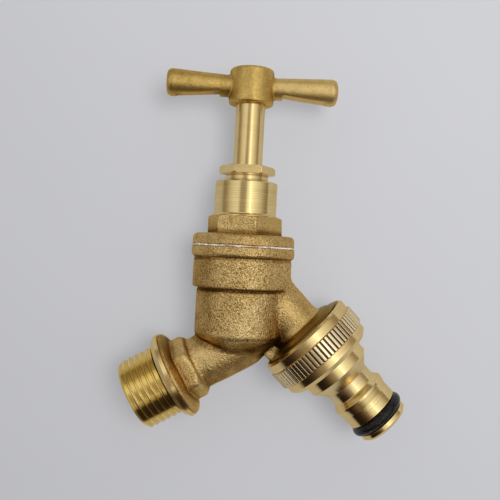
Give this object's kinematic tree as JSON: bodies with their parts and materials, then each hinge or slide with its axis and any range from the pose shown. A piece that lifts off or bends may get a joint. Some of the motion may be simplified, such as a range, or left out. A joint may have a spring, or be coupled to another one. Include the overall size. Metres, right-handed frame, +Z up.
{
  "type": "garden tap",
  "caption": "Brass garden tap with a crutch handle, a rising-spindle screw-down valve, a threaded wall inlet and a screw-on quick-connect hose nose.",
  "frame": {"origin": "centre of the inlet shoulder's sealing face, on the inlet axis", "axes": "as installed on a wall: the inlet points along -X into the wall fitting, +Z is up, and the tap's plane of symmetry is XZ"},
  "size_m": [0.094, 0.03, 0.1211],
  "materials": {
    "cast_brass": "sand-cast, satin",
    "bonnet_brass": "cast below, turned above",
    "handle_brass": "cast, tumbled satin",
    "polished_brass": "polished",
    "turned_brass": "turned",
    "connector_brass": "turned and polished",
    "white_fibre": "matte fibre",
    "packing": "matte, soft",
    "black_rubber": "smooth rubber"
  },
  "bodies": {
    "tap": {"tap_body": "cast_brass", "bonnet_gasket": "white_fibre", "bonnet": "bonnet_brass", "gland_ring": "turned_brass", "gland_packing": "packing", "gland_nut": "turned_brass"},
    "jumper": {"jumper_valve": "turned_brass", "jumper_washer": "black_rubber", "jumper_nut": "turned_brass"},
    "spindle_and_handle": {"spindle": "polished_brass", "crutch_handle": "handle_brass"},
    "connector_washer": {"hose_connector_washer": "black_rubber"},
    "hose_connector_body": {"hose_connector": "connector_brass", "hose_connector_o_ring": "black_rubber"}
  },
  "joints": [
    {"name": "valve_lift", "type": "slide", "parent": "tap", "child": "jumper", "axis": [0.5, 0, 0.866], "range_m": [0, 0.0065]},
    {"name": "handle_turn", "type": "hinge", "parent": "jumper", "child": "spindle_and_handle", "pos_m": [0.0224, 0, 0], "axis": [0.5, 0, 0.866], "range_deg": [0, 936.2]},
    {"name": "connector_travel", "type": "slide", "parent": "tap", "child": "connector_washer", "axis": [0.2588, 0, -0.9659], "range_m": [0, 0.00725]},
    {"name": "connector_screw", "type": "hinge", "parent": "connector_washer", "child": "hose_connector_body", "pos_m": [0.03365, 0, 0.01949], "axis": [0.2588, 0, -0.9659], "range_deg": [0, 1440]}
  ],
  "couplings": [
    {"joint": "handle_turn", "follows": "valve_lift", "rad_per_m": 2513.3},
    {"joint": "connector_screw", "follows": "connector_travel", "rad_per_m": 3463.7}
  ]
}
